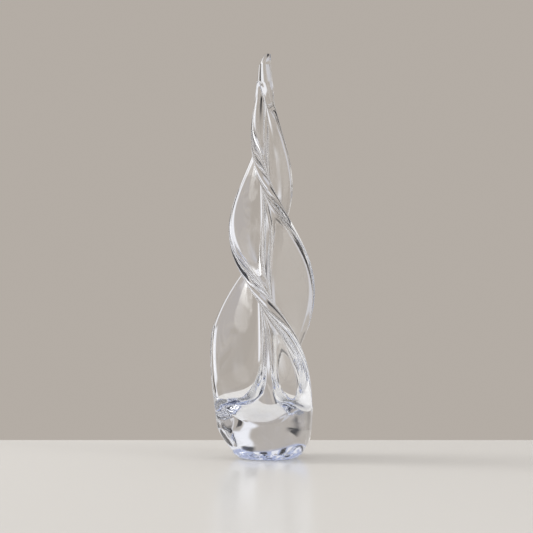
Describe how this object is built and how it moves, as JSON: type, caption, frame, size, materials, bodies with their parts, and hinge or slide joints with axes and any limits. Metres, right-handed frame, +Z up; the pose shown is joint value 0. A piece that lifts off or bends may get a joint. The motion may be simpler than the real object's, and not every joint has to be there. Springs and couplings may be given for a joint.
{
  "type": "glass tree sculpture",
  "caption": "Tall clear solid-glass tree with spiral fins that taper from a heavy scooped foot to a slim drawn-out tip; stands on its ground flat as an ornament.",
  "frame": {"origin": "middle of the flat that is ground under the foot, on the table", "axes": "+Z up along the tree to its tip, -Y towards the front, which faces the picture's camera, +X to the right seen from there"},
  "size_m": [0.1023, 0.1046, 0.394],
  "materials": {
    "clear_glass": "fire-polished, clear, with a faint blue-violet cast where it is thick"
  },
  "bodies": {
    "root": {"base": "clear_glass", "core": "clear_glass", "fin_1": "clear_glass", "fin_2": "clear_glass", "fin_3": "clear_glass", "tip": "clear_glass"}
  },
  "joints": []
}
